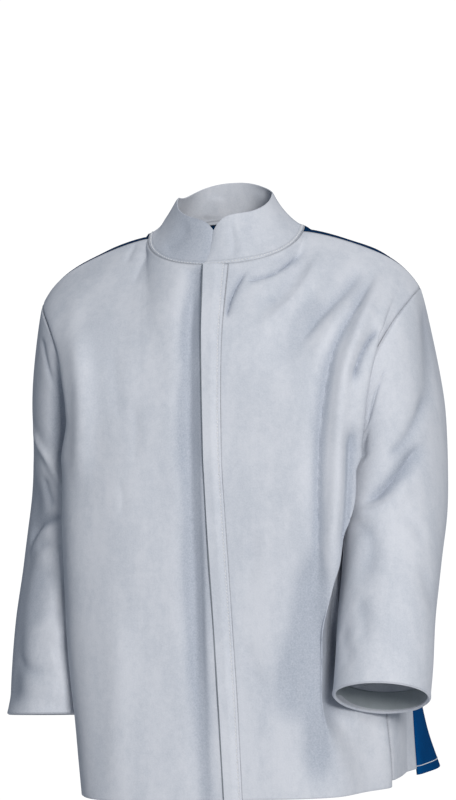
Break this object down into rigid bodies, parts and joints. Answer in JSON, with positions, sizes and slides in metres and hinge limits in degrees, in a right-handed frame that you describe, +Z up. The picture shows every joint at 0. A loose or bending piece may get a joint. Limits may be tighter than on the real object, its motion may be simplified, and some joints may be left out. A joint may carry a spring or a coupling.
{
  "type": "leather welding jacket",
  "caption": "Worn welding jacket: split leather fronts, sides, sleeves and stand collar with a covered front closure, and a cotton back.",
  "frame": {"origin": "middle of the neck opening, level with the sides of the collar seam, where the jacket sits on its wearer's neck and shoulders", "axes": "+Z up, -Y towards the front, +X towards the wearer's left"},
  "size_m": [0.5676, 0.342, 0.7701],
  "materials": {
    "suede": "matt split suede, pale blue grey",
    "suede_inside": "matt suede, inner side of the hide",
    "blue_cotton": "matt twill cotton, royal blue",
    "hook_and_loop": "matt hook and loop tape, dark grey"
  },
  "bodies": {
    "root": {"front_left": "suede", "front_right": "suede", "back_panel": "blue_cotton", "side_left": "suede", "side_right": "suede", "sleeve_left": "suede", "sleeve_right": "suede", "cuff_facing_left": "suede_inside", "cuff_facing_right": "suede_inside", "collar": "suede", "placket": "suede", "placket_facing": "suede_inside", "closure_strip": "hook_and_loop"}
  },
  "joints": []
}
